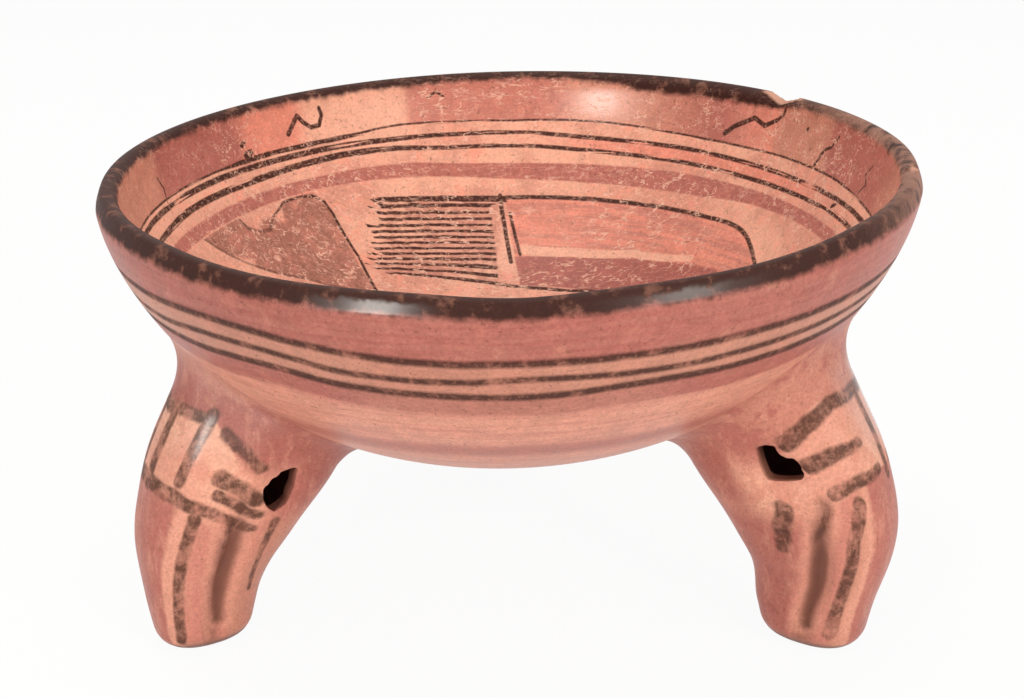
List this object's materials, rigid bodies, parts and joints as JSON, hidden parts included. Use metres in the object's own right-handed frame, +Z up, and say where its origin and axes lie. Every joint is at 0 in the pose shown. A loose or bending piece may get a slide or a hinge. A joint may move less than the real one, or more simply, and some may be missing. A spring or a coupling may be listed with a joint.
{
  "type": "tripod bowl",
  "caption": "Wide round clay bowl with painted slip bands inside and out, on hollow splayed rattle legs that are pierced and grooved on their flanks.",
  "frame": {"origin": "middle of the bounding box on the floor, under the centre of the rim", "axes": "+Z up, front at -Y midway between the front legs, +X to the right seen from the front"},
  "size_m": [0.2, 0.2, 0.1112],
  "materials": {
    "painted_slip": "burnished painted slip in cream, red and dark brown, satin with worn edges",
    "leg_slip": "burnished painted slip in cream, red and dark brown, satin with worn edges",
    "luting_slip": "burnished red slip, satin",
    "pellet_clay": "bare fired clay, matt"
  },
  "bodies": {
    "bowl_on_legs": {"bowl": "painted_slip", "leg_front_left": "leg_slip", "luting_front_left": "luting_slip", "leg_front_right": "leg_slip", "luting_front_right": "luting_slip", "leg_back": "leg_slip", "luting_back": "luting_slip"},
    "pellet_front_left_outer": {"pellet_front_left_outer": "pellet_clay"},
    "pellet_front_left_inner": {"pellet_front_left_inner": "pellet_clay"},
    "pellet_front_right_outer": {"pellet_front_right_outer": "pellet_clay"},
    "pellet_front_right_inner": {"pellet_front_right_inner": "pellet_clay"},
    "pellet_back_outer": {"pellet_back_outer": "pellet_clay"},
    "pellet_back_inner": {"pellet_back_inner": "pellet_clay"}
  },
  "joints": [
    {"name": "front_left_outer_pellet_rattle", "type": "slide", "parent": "bowl_on_legs", "child": "pellet_front_left_outer", "axis": [0.3634, 0.2106, 0.9075], "range_m": [0, 0.026]},
    {"name": "front_left_inner_pellet_rattle", "type": "slide", "parent": "bowl_on_legs", "child": "pellet_front_left_inner", "axis": [0.3634, 0.2106, 0.9075], "range_m": [0, 0.018]},
    {"name": "front_right_outer_pellet_rattle", "type": "slide", "parent": "bowl_on_legs", "child": "pellet_front_right_outer", "axis": [-0.3585, 0.2188, 0.9075], "range_m": [0, 0.03]},
    {"name": "front_right_inner_pellet_rattle", "type": "slide", "parent": "bowl_on_legs", "child": "pellet_front_right_inner", "axis": [-0.3585, 0.2188, 0.9075], "range_m": [0, 0.022]},
    {"name": "back_outer_pellet_rattle", "type": "slide", "parent": "bowl_on_legs", "child": "pellet_back_outer", "axis": [0, -0.42, 0.9075], "range_m": [0, 0.026]},
    {"name": "back_inner_pellet_rattle", "type": "slide", "parent": "bowl_on_legs", "child": "pellet_back_inner", "axis": [0, -0.42, 0.9075], "range_m": [0, 0.018]}
  ]
}
